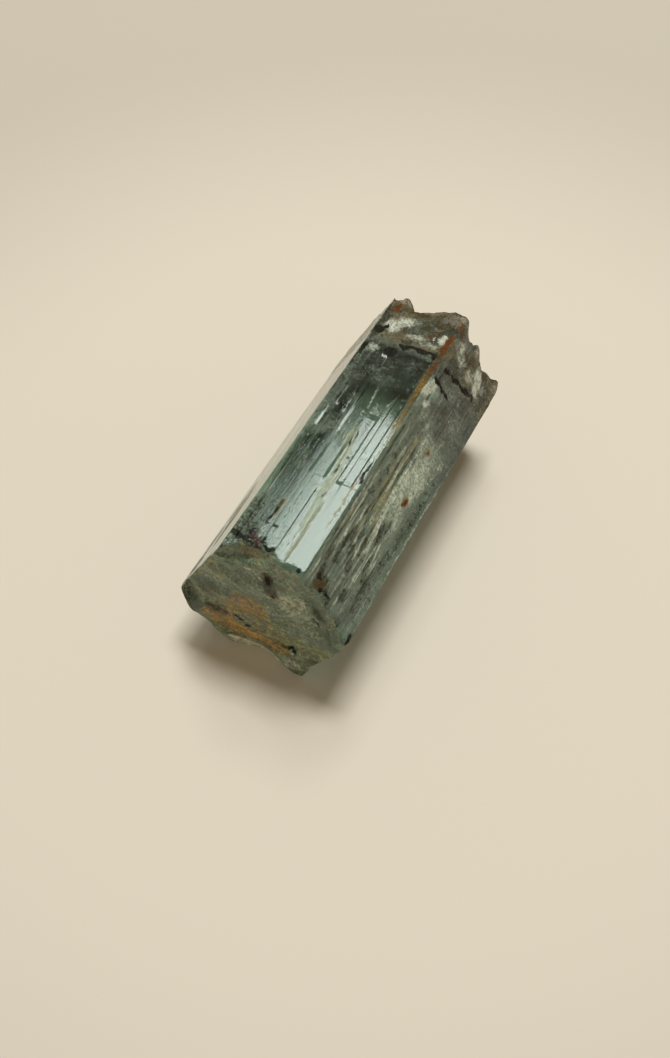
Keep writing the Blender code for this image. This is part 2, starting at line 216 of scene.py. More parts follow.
# Marks on the skin map, each as (place, half sizes, strength, turn in degrees if it has one),
# and on the broken end with its places before they are moved.
SIDE_MARKS = {
    "frost": (
        (22.6, 9.5, 0.6, 0.6, 1.0, 20), (22.0, 10.1, 0.6, 0.5, 0.8, -10), (22.9, 7.0, 0.45, 0.5, 0.6),
        (21.4, 10.5, 0.6, 0.35, 0.55), (20.6, 9.0, 0.8, 0.35, 0.6, 10), (18.9, 9.6, 0.36, 0.45, 1.0),
        (19.55, 8.7, 0.7, 0.25, 0.55), (17.85, 5.6, 0.4, 1.1, 0.9, 25),
        (17.35, 4.6, 0.3, 0.6, 0.7, 10), (14.5, 9.9, 0.5, 1.1, 0.95, -20),
        (15.4, 9.6, 0.4, 0.5, 0.5, -20), (20.9, 9.6, 1.3, 0.5, 0.3), (17.4, 10.4, 0.5, 0.7, 0.5, -20),
        (17.0, 9.9, 0.45, 0.9, 0.6, -30), (13.44, 2.7, 0.35, 0.5, 0.5), (13.8, 0.3, 0.25, 0.45, 0.5),
        (13.55, 1.4, 0.18, 0.9, 0.45, 10), (22.04, 1.6, 0.08, 1.5, 0.42, -4),
        (20.86, 2.9, 0.08, 1.3, 0.48, -7), (19.63, 2.7, 0.07, 1.1, 0.4, 11),
        (18.25, 1.2, 0.08, 2.2, 0.5), (17.55, 1.6, 0.08, 1.4, 0.55), (17.95, -4.8, 0.09, 3.2, 0.6),
        (16.95, -5.2, 0.1, 1.6, 0.65, -4), (15.25, -5.4, 0.17, 2.4, 0.9, -5),
        (16.4, -6.9, 0.14, 1.8, 0.85, -4), (14.9, -7.8, 0.14, 1.6, 0.75, -4),
        (15.75, -9.8, 0.16, 1.0, 0.7), (17.3, -7.4, 0.1, 2.6, 0.7), (15.75, -7.6, 0.12, 2.0, 0.7, -4),
        (14.35, -5.8, 0.1, 1.8, 0.6, -5), (16.1, -9.2, 0.12, 1.3, 0.6, 4),
        (13.05, -8.6, 0.08, 2.6, 0.6), (12.58, -2.0, 0.08, 6.5, 0.5), (12.58, -9.4, 0.08, 2.2, 0.55),
    ),
    "haze": (
        (14.9, -0.6, 1.1, 2.9, 1.0, 10), (15.4, 0.4, 2.2, 4.8, 0.55, 10), (15.3, 2.2, 0.8, 1.6, 0.85),
        (14.6, -3.2, 0.8, 1.8, 0.75), (16.5, 3.6, 1.1, 1.3, 0.55), (14.2, 5.6, 1.2, 1.4, 0.45),
        (15.8, 7.0, 1.3, 1.1, 0.4), (15.8, -7.5, 1.6, 2.6, 0.45), (22.7, -0.5, 0.8, 1.1, 0.34, 30),
        (21.6, 0.5, 0.7, 0.6, 0.32, 60), (23.1, 1.2, 0.5, 0.7, 0.3), (22.1, 2.2, 0.6, 0.5, 0.26),
        (22.6, -3.6, 0.5, 1.2, 0.26, -20), (20.9, 4.6, 1.3, 0.7, 0.24), (20.4, 6.4, 1.8, 1.2, 0.2),
        (22.7, 5.4, 0.9, 2.6, 0.22),
    ),
    "olive": (
        (20.5, -1.5, 0.34, 1.7, 1.0, -8), (20.2, -5.4, 0.26, 1.4, 0.9, -4),
        (20.12, -3.6, 0.26, 1.7, 0.95, -6), (19.95, -7.2, 0.3, 1.5, 0.95),
        (19.8, -9.4, 0.16, 1.6, 0.8),
    ),
    "gold": (
        (16.35, 1.2, 0.32, 1.6, 0.9), (16.45, -2.0, 0.38, 2.6, 1.0, -3),
        (15.95, -3.6, 0.26, 2.2, 0.8, -4), (15.5, 0.6, 0.16, 2.4, 0.5), (17.7, -6.6, 0.16, 3.2, 0.6),
        (16.6, -5.0, 0.16, 2.0, 0.6, -3), (20.4, -0.4, 0.12, 1.2, 0.45, -8),
        (21.9, -7.8, 0.13, 1.0, 1.0, 3), (20.1, -4.2, 0.1, 2.4, 0.5, -6),
        (19.74, -9.1, 0.15, 1.9, 0.95), (18.6, -3.6, 0.1, 4.5, 0.45),
    ),
    "striae": (
        (16.4, -0.6, 0.55, 3.4, 0.9, -2), (15.6, -2.2, 0.35, 2.6, 0.7, -4),
        (17.75, -6.6, 0.45, 4.2, 1.0), (16.6, -7.2, 0.55, 3.6, 1.0), (15.3, -7.4, 0.85, 3.4, 1.0, -3),
        (14.1, -8.4, 0.7, 2.8, 0.8), (17.6, 0.4, 0.2, 1.8, 0.6),
    ),
    "ochre": (
        (18.55, 5.4, 0.24, 2.4, 1.0), (18.48, 1.8, 0.2, 1.8, 0.8), (15.1, 2.3, 0.45, 0.4, 0.35),
        (14.45, -1.65, 0.4, 0.5, 0.45),
    ),
    # Partly the crystal's own dark olive patches and partly painted shade where the clear body looks
    # dark, such as the lower band of the upper right face, the left face's outer part and the left
    # ridge; one spot by the broken end's left corner is painted shade over a reflection of the window.
    "dark_olive_and_shade": (
        (17.25, -1.6, 0.4, 3.6, 0.5), (17.45, 2.4, 0.3, 1.6, 0.35), (17.95, 0.6, 0.12, 3.4, 0.7),
        (16.7, -6.6, 0.3, 0.75, 0.9, 8), (16.3, -7.5, 0.26, 0.6, 0.8),
        (14.85, -4.9, 0.2, 0.9, 0.95, -4), (14.55, -4.1, 0.16, 0.6, 0.8),
        (15.6, -6.2, 0.18, 1.3, 0.85, -4), (16.95, -7.3, 0.22, 0.45, 0.95),
        (16.2, -6.1, 0.18, 0.5, 0.9), (15.75, -8.3, 0.26, 0.5, 0.9), (14.45, -7.0, 0.18, 0.8, 0.85),
        (17.35, -9.8, 0.28, 0.5, 0.9), (14.9, -9.9, 0.32, 0.5, 0.8), (14.15, -7.9, 0.18, 0.5, 0.8),
        (16.9, -8.4, 0.16, 0.6, 0.8), (15.05, -7.6, 0.2, 1.1, 0.6), (17.5, -8.9, 0.22, 1.3, 0.7),
        (14.2, -9.0, 0.4, 1.6, 0.45), (13.3, -5.6, 0.5, 4.2, 0.52), (13.3, -8.8, 0.8, 2.4, 0.5),
        (13.15, -0.8, 0.4, 3.2, 0.5), (13.3, 5.0, 0.5, 1.3, 0.35), (14.9, 4.1, 0.5, 0.6, 0.35),
        (16.1, -0.6, 0.08, 2.2, 0.7, -3), (23.55, 3.5, 0.12, 1.6, 0.6), (23.4, 5.6, 0.18, 0.4, 0.8),
        (22.1, -0.2, 0.35, 0.35, 0.6), (21.5, -0.9, 0.25, 0.45, 0.5), (23.3, -8.8, 0.55, 2.2, 0.7),
        (22.6, -10.5, 1.3, 0.5, 1.0), (23.75, -11.3, 0.35, 0.55, 1.0), (16.8, -10.6, 0.7, 0.6, 0.9),
        (15.95, -11.0, 0.6, 0.3, 0.8), (22.7, -9.8, 0.7, 0.6, 0.8), (20.62, 1.35, 0.35, 0.1, 0.8),
        (21.3, -7.4, 0.05, 3.6, 0.5), (20.12, -8.8, 0.05, 2.6, 0.4), (27.4, -7.6, 0.9, 2.6, 0.75),
        (28.6, -5.4, 0.5, 1.9, 0.8, 14), (29.3, -9.0, 0.5, 1.8, 0.7), (15.0, 4.0, 0.45, 0.5, 0.35),
        (18.12, -7.0, 0.14, 4.0, 0.45), (14.7, -4.6, 0.3, 0.9, 0.5, -5), (16.5, -8.8, 0.5, 1.0, 0.45),
        (15.9, -9.6, 0.3, 0.9, 0.4), (29.5, -10.9, 0.9, 0.9, 0.85), (23.4, 2.2, 0.4, 3.2, 0.55),
    ),
    "brown": (
        (22.02, -7.9, 0.12, 1.0, 1.0, 3), (22.05, -8.2, 0.1, 0.6, 1.0, 3),
        (21.85, -10.3, 0.12, 0.35, 0.6), (19.3, 11.3, 0.9, 0.7, 0.75), (21.6, 11.4, 1.2, 0.4, 0.5),
        (14.0, 11.0, 0.4, 0.8, 0.6), (16.6, 10.2, 0.4, 0.6, 0.45, -20), (17.7, 11.2, 0.6, 0.6, 0.6),
        (15.7, 10.6, 0.5, 0.45, 0.75), (16.6, 8.4, 0.9, 0.3, 0.6, -12),
        (14.9, 8.6, 0.6, 0.25, 0.4, -12), (20.6, 10.2, 0.6, 0.5, 0.4), (23.4, 9.9, 0.3, 0.5, 0.5),
        (13.3, 10.6, 0.35, 0.9, 0.5), (19.9, -2.2, 0.2, 0.8, 0.5), (17.0, -10.7, 0.6, 0.45, 0.9),
        (15.8, -10.8, 0.6, 0.35, 0.6),
    ),
    "rust": (
        (18.55, 9.0, 0.2, 1.3, 1.0), (18.5, 7.2, 0.18, 1.3, 0.9), (23.2, 11.2, 0.25, 0.45, 1.0, 25),
        (22.95, 10.9, 0.2, 0.2, 0.7), (19.8, 9.6, 0.3, 0.22, 0.75), (19.4, 10.0, 0.16, 0.2, 0.6),
        (18.45, 11.3, 0.3, 0.4, 0.6), (15.7, 10.7, 0.25, 0.28, 0.5),
        (14.38, -1.6, 0.14, 0.3, 0.75, 10), (14.62, -1.95, 0.16, 0.14, 0.6),
        (15.04, 2.35, 0.17, 0.22, 0.7), (16.3, -11.0, 0.22, 0.12, 0.5),
    ),
    "dark": (
        (23.3, 8.85, 0.36, 0.42, 1.0, 30), (22.95, 9.2, 0.2, 0.16, 0.9),
        (21.7, 7.1, 0.5, 0.38, 1.0, -15), (20.95, 7.95, 0.32, 0.26, 0.95),
        (19.85, 8.06, 1.35, 0.17, 1.0, -2), (18.85, 7.7, 0.16, 0.2, 0.8),
        (17.25, 7.8, 0.4, 0.26, 0.8, -12), (16.2, 8.15, 0.85, 0.17, 1.0, -14),
        (15.0, 8.45, 0.75, 0.16, 1.0, -12), (14.25, 8.6, 0.25, 0.12, 0.8),
        (17.35, 6.5, 0.6, 0.2, 1.0, -4), (16.45, 6.5, 0.6, 0.2, 1.0, -4),
        (23.35, -10.5, 0.35, 0.3, 0.8), (22.95, -10.6, 0.75, 0.24, 0.85),
        (22.5, -10.0, 0.22, 0.2, 0.8, 20), (21.0, -10.6, 0.35, 0.16, 0.9),
        (21.55, -10.2, 0.1, 0.3, 0.8), (18.52, -2.8, 0.1, 0.8, 0.95, 4),
        (18.45, -3.6, 0.1, 0.4, 0.7, 4), (22.04, -8.2, 0.1, 0.85, 0.8, 3),
        (21.7, -9.02, 0.55, 0.08, 0.8), (20.46, -1.1, 0.07, 0.5, 0.8, -6),
        (20.3, -0.6, 0.05, 0.6, 0.7, -6), (20.62, -1.9, 0.05, 0.5, 0.7, -6),
        (20.2, -3.5, 0.07, 0.45, 0.8, -4), (20.0, -5.6, 0.05, 0.5, 0.6), (18.7, -11.1, 0.2, 0.2, 0.7),
        (17.15, -10.5, 0.24, 0.26, 0.8), (16.55, -11.0, 0.24, 0.16, 0.8),
        (15.9, -10.9, 0.35, 0.16, 0.9), (12.6, -11.3, 0.2, 0.4, 0.9), (11.9, -11.4, 0.3, 0.2, 0.8),
    ),
    "red": (
        (22.15, -10.4, 0.6, 0.32, 1.0), (21.7, -10.85, 0.45, 0.14, 0.8),
    ),
    "tan": (
        (22.2, -11.0, 0.9, 0.12, 0.9), (20.6, -11.05, 1.1, 0.12, 0.8), (18.68, -5.4, 0.07, 3.0, 0.8),
        (18.45, -0.9, 0.07, 2.6, 0.8), (18.8, 1.3, 0.07, 1.3, 0.6, 6), (14.45, -1.65, 0.32, 0.44, 0.9),
        (15.06, 2.35, 0.34, 0.36, 0.8),
    ),
}
BROKEN_END_MARKS = {
    "frost": (
        # The marks low on the broken end make the bright strip along its foot: painted light for light
        # coming through the crystal's lower edge.
        (-1.6, 0.75, 1.5, 0.4, 0.9, -8), (0.3, 0.45, 1.6, 0.28, 0.8), (-0.6, 0.3, 2.6, 0.3, 1.0),
        (2.85, 7.95, 0.3, 0.12, 0.9, -30), (-0.4, 9.2, 1.3, 0.1, 0.5, -28),
        (1.9, 9.6, 0.8, 0.1, 0.5, -35), (1.9, 1.1, 0.6, 0.4, 0.45),
    ),
    "haze": (
        (-0.5, 8.1, 1.6, 0.8, 0.55, -30), (2.8, 5.2, 1.1, 1.3, 0.5, 30), (1.9, 1.0, 1.1, 0.8, 0.75),
        (-3.4, 6.6, 1.2, 1.1, 0.35), (1.2, 6.2, 1.2, 0.8, 0.4, -20), (2.3, 7.5, 1.5, 0.9, 0.9, -20),
        (0.1, 8.2, 0.9, 0.5, 0.6, -20),
    ),
    "ochre": (
        # On the broken end these marks take the amber colour: real iron film, made bright enough to
        # paint the glow of light coming through it.
        (-0.9, 5.7, 1.5, 1.0, 0.62), (-2.0, 4.6, 1.4, 0.8, 0.45, -20),
        (-3.1, 3.4, 1.4, 1.0, 0.68, -20), (-2.2, 2.4, 1.9, 0.9, 0.8, -15),
        (-0.4, 1.95, 1.7, 0.6, 0.9, -5), (1.0, 1.95, 0.9, 0.45, 0.9), (-0.2, 3.6, 2.2, 1.4, 0.35),
    ),
    "dark_olive_and_shade": (
        (-5.4, 5.2, 0.25, 1.4, 0.6, -20), (3.9, 7.6, 0.3, 0.9, 0.6, 25), (4.9, 5.6, 0.3, 0.9, 0.5, 25),
        (3.4, 2.2, 0.7, 0.25, 0.5, 30), (-1.8, 9.3, 0.7, 0.3, 0.45), (-5.2, 4.6, 0.6, 1.9, 0.6, 10),
        (-3.8, 5.9, 0.8, 0.8, 0.45), (-4.4, 3.7, 0.7, 0.6, 0.5), (2.0, 0.35, 0.5, 0.3, 0.5),
    ),
    "brown": (
        (0.7, 8.6, 0.4, 0.95, 0.8, 25), (-3.3, 4.0, 0.9, 0.4, 0.6, -20), (-1.0, 2.6, 0.5, 0.2, 0.5),
        (1.4, 2.3, 0.5, 0.3, 0.7), (3.6, 7.0, 0.12, 0.9, 0.6, 30),
    ),
    "rust": (
        (0.75, 8.35, 0.12, 0.25, 0.5, 25), (0.9, 1.9, 0.3, 0.14, 0.6), (-3.0, 3.1, 0.4, 0.14, 0.5),
    ),
    "dark": (
        (0.55, 8.9, 0.14, 0.4, 0.9, 30), (0.9, 7.95, 0.12, 0.3, 0.9, 15),
        (-1.85, 3.7, 0.42, 0.14, 1.0, -15), (-1.15, 3.35, 0.32, 0.12, 0.9, 30),
        (1.85, 2.3, 0.34, 0.26, 1.0), (5.2, 4.1, 0.18, 0.4, 0.9, 20),
    ),
    "tan": (
        (-0.9, 10.5, 0.8, 0.14, 0.9, -8), (0.7, 10.75, 1.2, 0.12, 0.8),
    ),
}

# How each kind of mark shows, as (strength at which it sets in, strength at which it is full,
# how far noise breaks up its edges).
MARK_KINDS = {
    "frost": (0.05, 0.85, 0.55),
    "haze": (0.0, 1.15, 0.35),
    "olive": (0.1, 0.8, 1.0),
    "gold": (0.25, 0.75, 1.0),
    "striae": (0.0, 0.8, 0.5),
    "ochre": (0.0, 1.0, 0.2),
    "dark_olive_and_shade": (0.05, 0.75, 1.0),
    "brown": (0.1, 0.9, 1.0),
    "rust": (0.1, 0.7, 1.0),
    "dark": (0.2, 0.7, 1.0),
    "red": (0.25, 0.75, 1.0),
    "tan": (0.25, 0.75, 1.0),
}
MARK_EDGE = 0.5
MARK_SHAKE = (0.10, 0.18)
SHAKE_SCALE = 2.2
FINE_SHAKE_SCALE = 5.1
FINE_SHAKE_SHARE = 0.5
MARK_SEED = 1


def marks_of(kind):
    """All the marks of a kind, with the broken end's in their place on the skin map."""
    moved = [(BROKEN_SKIN + mark[0], *mark[1:]) for mark in BROKEN_END_MARKS.get(kind, ())]
    return [*SIDE_MARKS.get(kind, ()), *moved]


def shaken(place, solid):
    """A place on the skin map, moved a little so that marks get uneven edges."""
    shake = noise.noise_vector(solid / MM * SHAKE_SCALE)
    shake += FINE_SHAKE_SHARE * noise.noise_vector(solid / MM * FINE_SHAKE_SCALE)
    return place[0] + MARK_SHAKE[0] * shake.x, place[1] + MARK_SHAKE[1] * shake.y


def mark_strength(mark, place):
    """How strongly a mark shows at a place on the skin map, from 0 to 1."""
    across, along, half_across, half_along, strength, *turn = mark
    angle = math.radians(turn[0] if turn else 0)
    cos, sin = math.cos(angle), math.sin(angle)
    x, y = place[0] - across, place[1] - along
    out = math.hypot((x * cos + y * sin) / half_across, (y * cos - x * sin) / half_along)
    inside = min(1.0, max(0.0, (1 + MARK_EDGE - out) / (2 * MARK_EDGE)))
    return strength * inside * inside * (3 - 2 * inside)


def add_layer(data, name, kind, values):
    """Write an attribute of the vertices."""
    layer = data.attributes.new(name, kind, "POINT")
    layer.data.foreach_set("vector" if kind == "FLOAT_VECTOR" else "value", values)


def paint_marks(data, places):
    """Write each kind of mark as an attribute. Each vertex has one or two places on the skin."""
    noise.seed_set(MARK_SEED)
    spots = [(index, shaken(place, data.vertices[index].co))
             for index, own in enumerate(places) for place in own]
    tree = KDTree(len(spots))
    for number, (_, spot) in enumerate(spots):
        tree.insert((*spot, 0.0), number)
    tree.balance()
    for kind in MARK_KINDS:
        values = [0.0] * len(places)
        for mark in marks_of(kind):
            reach = (1 + MARK_EDGE) * max(mark[2:4])
            for _, number, _ in tree.find_range((*mark[:2], 0.0), reach):
                index, spot = spots[number]
                values[index] = max(values[index], mark_strength(mark, spot))
        add_layer(data, kind, "FLOAT", values)


def section_corners():
    """The section's six corners as (x, z), from the rest face's left one, with x centred."""
    slant = LOWER_RIGHT_WIDTH + UPPER_RIGHT_WIDTH
    skew = BASE_WIDTH + (LOWER_RIGHT_WIDTH - UPPER_RIGHT_WIDTH) / 2 - TOP_WIDTH
    upper_left_width = slant / 2 + skew
    widths = (BASE_WIDTH, LOWER_RIGHT_WIDTH, UPPER_RIGHT_WIDTH, TOP_WIDTH, upper_left_width)
    corners = [Vector((0.0, 0.0))]
    for side, width in enumerate(widths):
        turn = math.radians(60 * side)
        corners.append(corners[-1] + width * Vector((math.cos(turn), math.sin(turn))))
    left = min(corner.x for corner in corners)
    right = max(corner.x for corner in corners)
    return [corner - Vector(((left + right) / 2, 0.0)) for corner in corners]


def face_ledges(face):
    """A face's ledges, as TOP_LEDGES gives them. The rest face has none."""
    if face == "top":
        return TOP_LEDGES
    if face == "base":
        count = REST_FACE_STRIPS
        return tuple((i / count, (i + 1) / count, 0.0, 0.0, 0, 0.0) for i in range(count))
    rng = random.Random(f"ledges of {face}")
    most = LEFT_LEDGE_SHARE if face == "upper_left" else LEDGE_SHARE
    widths = [rng.uniform(0.5, 1.5) for _ in range(LEDGES_PER_FACE)]
    ledges = []
    start = 0.0
    for width in widths:
        end = start + width / sum(widths)
        near, far = rng.uniform(-most, most), rng.uniform(-most, most)
        ledges.append((start, end, near, far, rng.randrange(len(LEDGE_STOPS)), 0.0))
        start = end
    return tuple(ledges)


def section_columns():
    """The columns of the sheet, each as (point, outward direction, ledge, girth).

    The girth is the way round the section from the rest face's left corner.
    """
    corners = section_corners()
    columns = []
    girth = 0.0
    for index, face in enumerate(FACES):
        start = corners[index]
        run = corners[(index + 1) % 6] - start
        width = run.length
        along = run / width
        outward = Vector((along.y, -along.x))
        for ledge in face_ledges(face):
            first = ledge[0] * width + (LEDGE_RUN / 2 if ledge[0] > 0 else EDGE_WEAR)
            last = ledge[1] * width - (LEDGE_RUN / 2 if ledge[1] < ALL_BUT_ONE else EDGE_WEAR)
            count = max(1, round((last - first) / COLUMN_STEP))
            for step in range(count + 1):
                across = first + (last - first) * step / count
                columns.append((start + across * along, outward, ledge, girth + across))
        girth += width
    return columns


def lobes_at(x, z, lobes):
    """How far a set of lobes stands out at a point of an end."""
    total = 0.0
    for lobe_x, lobe_z, height, reach in lobes:
        distance = math.hypot(x / MM - lobe_x, z / MM - lobe_z) / reach
        total += height * MM * math.exp(-distance * distance)
    return total


def grain_at(x, z, layer):
    """A fine unevenness of a broken surface."""
    return GRAIN_HEIGHT * noise.noise(Vector((x / GRAIN_SIZE, layer, z / GRAIN_SIZE)))


def broken_end(x, z):
    """Where the broken end lies along the growth axis, over a point of the section."""
    out = lobes_at(x, z, BROKEN_LOBES) + grain_at(x, z, 3.1)
    from_centre = (Vector((x, z)) - RIPPLE_CENTRE).length
    ripples = (from_centre / RIPPLE_SPACING) ** RIPPLE_CROWDING
    out += RIPPLE_HEIGHT * math.sin(2 * math.pi * ripples)
    out -= SHELL_DROP / (1 + math.exp((from_centre - SHELL_RADIUS) / SHELL_STEEPNESS))
    from_pit = (Vector((x, z)) - PIT_PLACE).length / PIT_RADIUS
    out -= PIT_DEPTH * max(0.0, 1 - from_pit ** 2)
    return BROKEN_END - out


def ragged_end(x, z):
    """Where the ragged end lies along the growth axis, over a point of the section."""
    place = Vector((x / HILLOCK_SIZE, 7.7, z / HILLOCK_SIZE))
    nearest, second = noise.voronoi(place)[0][:2]
    hillock = min(1.0, second - nearest) - HILLOCK_LEVEL
    return RAGGED_END + lobes_at(x, z, RAGGED_LOBES) + HILLOCK_HEIGHT * hillock


def sheet_rows():
    """The rows of the long faces between the two end zones, as places along the axis."""
    start = BROKEN_END + END_ZONE
    end = RAGGED_END - END_ZONE
    stops = [stop + side * LEDGE_RUN / 2 for stop in LEDGE_STOPS for side in (-1, 1)]
    count = round((end - start) / ROW_STEP)
    evenly = [start + (end - start) * i / count for i in range(count + 1)]
    clear = [y for y in evenly if min(abs(y - stop) for stop in stops) > 0.3 * ROW_STEP]
    return sorted(clear + stops)


def ledge_height(ledge, y):
    """How far a ledge stands out of its face at a place along the axis."""
    near, far, stop, lean = ledge[2:]
    height = LEDGE_HEIGHT * (near if y < LEDGE_STOPS[stop] else far)
    if ledge in TOP_LEDGES:
        height *= TOP_LEDGE_SHARE
    return height - math.tan(math.radians(lean)) * y


def wear_at(point, y, near_rim, far_rim):
    """How the rims of both ends are worn in towards the axis. The rest face stays flat."""
    to_far = max(0.0, 1 - (far_rim - y) / SHOULDER_REACH)
    to_near = max(0.0, 1 - (y - near_rim) / BRUISE_REACH)
    patchy = 1 + WEAR_PATCHINESS * noise.noise(Vector((point.x, y, point.y)) / GRAIN_SIZE)
    depth = patchy * (SHOULDER_DEPTH * to_far ** 2 + BRUISE_DEPTH * to_near ** 2)
    above_rest_face = min(1.0, point.y / SHOULDER_REACH)
    sheltered = min(1.0, max(0.0, -point.x / MM - SHELTERED_FROM))
    depth *= 1 - SHELTER * sheltered * (point.y > SECTION_MIDDLE)
    inward = Vector((0.0, SECTION_MIDDLE)) - point
    return above_rest_face * depth * inward.normalized()


def column_points(column, rows):
    """One column of the sheet, from the broken end's rim to the ragged end's rim."""
    point, outward, ledge, _ = column
    near_rim = broken_end(*point)
    far_rim = ragged_end(*point)
    near_zone = [near_rim + (rows[0] - near_rim) * (i / ZONE_ROWS) ** ZONE_CROWDING
                 for i in range(ZONE_ROWS)]
    far_zone = [rows[-1] + (far_rim - rows[-1]) * (1 - (i / ZONE_ROWS) ** ZONE_CROWDING)
                for i in reversed(range(ZONE_ROWS))]
    points = []
    for y in near_zone + rows + far_zone:
        at = point + ledge_height(ledge, y) * outward + wear_at(point, y, near_rim, far_rim)
        points.append(Vector((at.x, y, at.y)))
    return points


def depth_in_section(place, corners):
    """How far a point of the section is inside the nearest of the six sides."""
    depths = []
    for index, start in enumerate(corners):
        along = (corners[(index + 1) % 6] - start).normalized()
        depths.append(along.cross(place - start))
    return min(depths)


def net_places(seed):
    """The inner points of an end's net, a jittered triangular grid."""
    rng = random.Random(seed)
    corners = section_corners()
    reach = max(corner.length for corner in corners)
    count = math.ceil(reach / NET_STEP)
    places = []
    for row in range(-count, 2 * count):
        for column in range(-count, count + 1):
            place = Vector((column + 0.5 * (row % 2), row * math.sqrt(3) / 2)) * NET_STEP
            place += Vector((rng.uniform(-1, 1), rng.uniform(-1, 1))) * NET_JITTER
            if depth_in_section(place, corners) > NET_MARGIN:
                places.append(place)
    return places


def lay_skin(mesh, face, places):
    """Write a face's places on the skin, in mm, to its corners."""
    layer = mesh.loops.layers.uv.verify()
    for loop, place in zip(face.loops, places):
        loop[layer].uv = place


def add_end_net(mesh, rim, end, seed, skin_start, skin_places):
    """Close one end with a net of triangles that shares the rim's vertices."""
    rim_places = [Vector((vert.co.x, vert.co.z)) / MM for vert in rim]
    inner_places = [place / MM for place in net_places(seed)]
    border = [(i, (i + 1) % len(rim)) for i in range(len(rim))]
    places, _, triangles, sources, _, _ = delaunay_2d_cdt(
        rim_places + inner_places, border, [], 1, 1e-6
    )
    verts = []
    for place, source in zip(places, sources):
        if source and min(source) < len(rim):
            verts.append(rim[min(source)])
        else:
            x, z = place * MM
            verts.append(mesh.verts.new((x, end(x, z), z)))
            skin_places[verts[-1]] = []
        skin_places[verts[-1]].append((skin_start + place.x, place.y))
    for triangle in triangles:
        face = mesh.faces.new([verts[i] for i in triangle])
        spots = [(skin_start + places[i].x, places[i].y) for i in triangle]
        lay_skin(mesh, face, spots)


def ragged_rim_nearness(sheet, skin_places):
    """How near the ragged end's rim each vertex near it is, from 0 to 1 on the rim."""
    corners = section_corners()
    rims = {}
    for column in sheet:
        for vert in column:
            rims[vert] = max(0.0, 1 - (column[-1].co.y - vert.co.y) / RIM_REACH)
    for vert, own in skin_places.items():
        across, up = own[0]
        if across > ON_RAGGED_END:
            depth = depth_in_section(Vector((across - RAGGED_SKIN, up)) * MM, corners)
            rims[vert] = max(0.0, 1 - depth / RIM_REACH)
    return rims


def crystal_mesh():
    """The crystal's fine mesh, placed in the solid's box, with its skin map and marks."""
    mesh = bmesh.new()
    rows = sheet_rows()
    columns = section_columns()
    girths = [column[3] / MM for column in columns]
    girths.append(girths[-1] + EDGE_WEAR / MM)
    skin_places = {}
    sheet = []
    for column, girth in zip(columns, girths):
        verts = [mesh.verts.new(point) for point in column_points(column, rows)]
        skin_places.update((vert, [(girth, vert.co.y / MM)]) for vert in verts)
        sheet.append(verts)
    for index, column in enumerate(sheet):
        following = sheet[(index + 1) % len(sheet)]
        for row in range(len(column) - 1):
            corner_verts = (column[row], following[row], following[row + 1], column[row + 1])
            face = mesh.faces.new(corner_verts)
            sides = (girths[index], girths[index + 1], girths[index + 1], girths[index])
            lay_skin(mesh, face, [(side, vert.co.y / MM)
                                  for side, vert in zip(sides, corner_verts)])
    near_rim = [column[0] for column in sheet]
    far_rim = [column[-1] for column in sheet]
    add_end_net(mesh, near_rim, broken_end, "broken end", BROKEN_SKIN, skin_places)
    add_end_net(mesh, far_rim, ragged_end, "ragged end", RAGGED_SKIN, skin_places)
    rims = ragged_rim_nearness(sheet, skin_places)
    bmesh.ops.recalc_face_normals(mesh, faces=mesh.faces)
    lows = [min(vert.co[axis] for vert in mesh.verts) for axis in range(3)]
    highs = [max(vert.co[axis] for vert in mesh.verts) for axis in range(3)]
    shift = Vector(
        ((NODE_LOW[axis] + NODE_HIGH[axis] - lows[axis] - highs[axis]) / 2 for axis in range(3))
    )
    shift.z = NODE_LOW.z - lows[2]
    bmesh.ops.translate(mesh, verts=mesh.verts, vec=shift)
    data = bpy.data.meshes.new("crystal")
    mesh.verts.ensure_lookup_table()
    places = [skin_places[vert] for vert in mesh.verts]
    nearness = [rims.get(vert, 0.0) for vert in mesh.verts]
    mesh.to_mesh(data)
    mesh.free()
    data.uv_layers[0].name = "skin"
    paint_marks(data, places)
    skin_parts = [part for own in places for part in (*own[0], 0.0)]
    add_layer(data, "place", "FLOAT_VECTOR", skin_parts)
    add_layer(data, "rim", "FLOAT", nearness)
    return data


# ---------------------------------------------------------------------------------------
# Node trees.


def arithmetic(operation, swapped=False):
    """A method that adds a math node, with the wire as its second input if swapped."""
    def method(wire, other):
        pair = (other, wire) if swapped else (wire, other)
        return wire.graph.add("ShaderNodeMath", dict(enumerate(pair)), operation=operation)
    return method


class Wire:
    """A node's output socket that takes part in Python expressions."""

    __add__ = __radd__ = arithmetic("ADD")
    __mul__ = __rmul__ = arithmetic("MULTIPLY")
    __sub__ = arithmetic("SUBTRACT")
    __rsub__ = arithmetic("SUBTRACT", swapped=True)
    __truediv__ = arithmetic("DIVIDE")
    __rtruediv__ = arithmetic("DIVIDE", swapped=True)
    maximum = arithmetic("MAXIMUM")
    above = arithmetic("GREATER_THAN")
    below = arithmetic("LESS_THAN")

    def __init__(self, graph, socket):
        self.graph = graph
        self.socket = socket

    def within(self, stretch):
        """1 inside a stretch from low to high, and 0 outside it."""
        low, high = stretch
        return self.above(low) * self.below(high)

    def rise(self, low, high):
        """0 up to low, 1 from high on, and a smooth step between."""
        inputs = {"Value": self, "From Min": low, "From Max": high}
        return self.graph.add("ShaderNodeMapRange", inputs, interpolation_type="SMOOTHSTEP")


